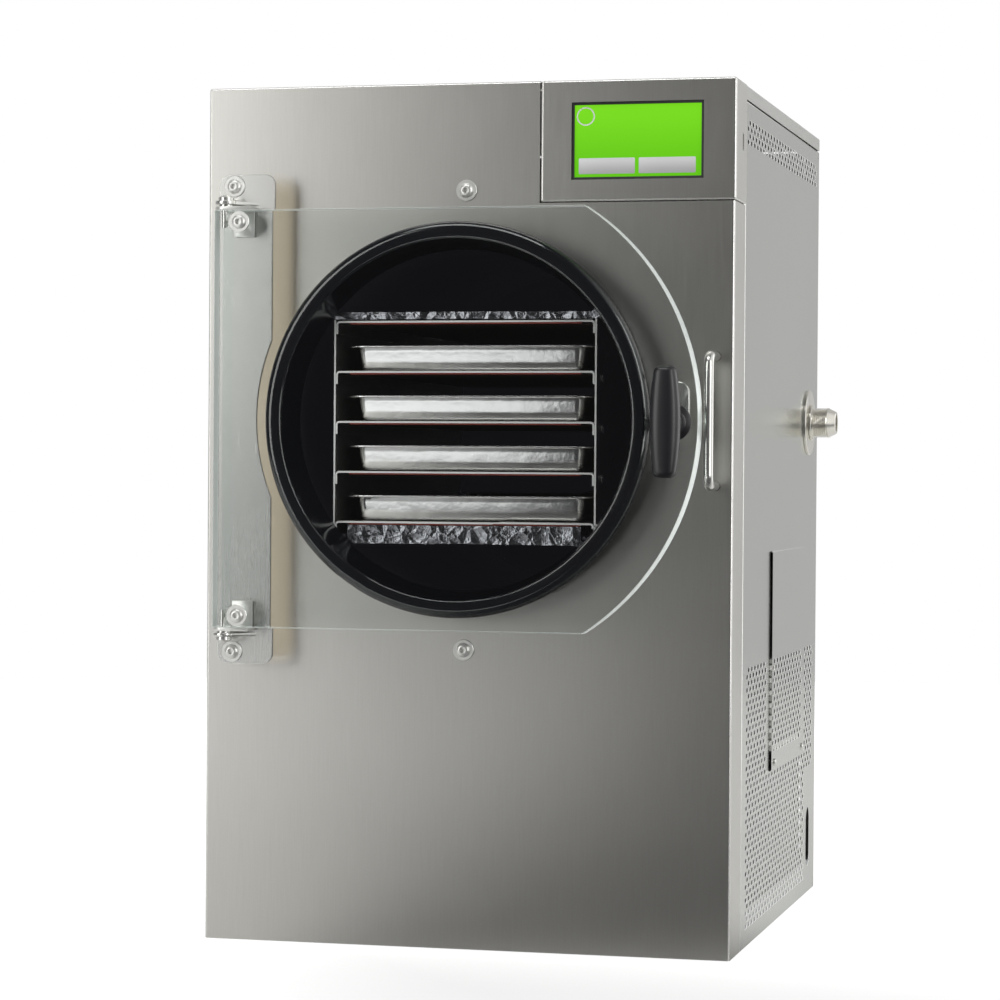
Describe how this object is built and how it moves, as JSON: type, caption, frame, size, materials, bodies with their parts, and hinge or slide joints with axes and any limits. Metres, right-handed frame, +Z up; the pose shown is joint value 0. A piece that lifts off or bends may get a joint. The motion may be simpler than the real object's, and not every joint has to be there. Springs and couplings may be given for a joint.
{
  "type": "freeze dryer",
  "caption": "Upright stainless home freeze dryer with a clear round-edged door on a thick rubber ring, a heated tray rack in a vacuum drum, a T-handle latch and a touch screen",
  "frame": {"origin": "on the floor, below the middle of the cabinet's base", "axes": "+Z up, -Y towards the front with the door, +X to the right seen from the front"},
  "size_m": [0.4849, 0.5887, 0.7302],
  "materials": {
    "brushed_panel": "vertical-grain brushed stainless sheet",
    "side_sheet": "brushed stainless sheet",
    "zinc_sheet": "plain zinc-coated sheet",
    "drum_steel": "satin stainless",
    "rack_steel": "satin stainless",
    "tray_steel": "bright stainless",
    "hinge_steel": "polished stainless",
    "fastener": "bright steel",
    "clear_door": "clear acrylic, polished",
    "ring_rubber": "black rubber, satin",
    "heater": "orange silicone",
    "foil": "crinkled foil",
    "grip": "black, satin",
    "shaft_steel": "turned stainless",
    "jacket_foam": "closed-cell foam",
    "copper": "copper tube",
    "black_paint": "black enamel",
    "condenser_metal": "plain fins",
    "black_plastic": "black, fine texture",
    "screen": "lit display, green",
    "board": "printed board",
    "port_metal": "bright nickel"
  },
  "bodies": {
    "cabinet": {"front_panel": "brushed_panel", "control_housing": "brushed_panel", "left_side_panel": "side_sheet", "right_side_panel": "side_sheet", "side_access_cover": "side_sheet", "top_cover": "side_sheet", "back_panel": "side_sheet", "base_pan": "zinc_sheet", "drum_cradle": "zinc_sheet", "fan_shroud": "zinc_sheet", "vacuum_drum": "drum_steel", "drum_flange": "drum_steel", "vacuum_pipe": "drum_steel", "rack_left_plate": "rack_steel", "rack_right_plate": "rack_steel", "shelf_1": "rack_steel", "shelf_2": "rack_steel", "shelf_3": "rack_steel", "shelf_4": "rack_steel", "shelf_5": "rack_steel", "tray_1": "tray_steel", "tray_2": "tray_steel", "tray_3": "tray_steel", "tray_4": "tray_steel", "hinge_plate": "hinge_steel", "hinge_arms": "hinge_steel", "front_bolts": "fastener", "rack_screws": "fastener", "access_cover_screws": "fastener", "hinge_pins": "fastener", "usb_port": "fastener", "door_ring": "ring_rubber", "heater_mats": "heater", "foil_pads": "foil", "latch_keeper": "shaft_steel", "foam_jacket": "jacket_foam", "compressor_mounts": "jacket_foam", "cold_coil": "copper", "refrigerant_lines": "copper", "compressor": "black_paint", "fan_motor": "black_paint", "condenser": "condenser_metal", "display_bezel": "black_plastic", "power_inlet": "black_plastic", "pump_outlet": "black_plastic", "touch_display": "screen", "display_board": "board", "port_disc": "port_metal", "vacuum_port": "port_metal"},
    "door": {"door_panel": "clear_door", "door_brackets": "hinge_steel", "door_screws": "fastener", "latch_bush": "shaft_steel"},
    "latch": {"latch_handle": "grip", "latch_shaft": "shaft_steel", "latch_finger": "shaft_steel"},
    "rocker": {"power_rocker": "black_plastic"},
    "fan_rotor": {"fan": "black_plastic"}
  },
  "joints": [
    {"name": "door_swing", "type": "hinge", "parent": "cabinet", "child": "door", "pos_m": [-0.198, -0.2885, 0.446], "axis": [0, 0, -1], "range_deg": [0, 115]},
    {"name": "latch_turn", "type": "hinge", "parent": "door", "child": "latch", "pos_m": [0.1883, -0.2885, 0.444], "axis": [0, 1, 0], "range_deg": [0, 90]},
    {"name": "power_rocker_tilt", "type": "hinge", "parent": "cabinet", "child": "rocker", "pos_m": [0.14, 0.2465, 0.664], "axis": [-1, 0, 0], "range_deg": [0, 16]},
    {"name": "fan_spin", "type": "hinge", "parent": "cabinet", "child": "fan_rotor", "pos_m": [0.1664, -0.01, 0.1067], "axis": [1, 0, 0], "continuous": true}
  ]
}
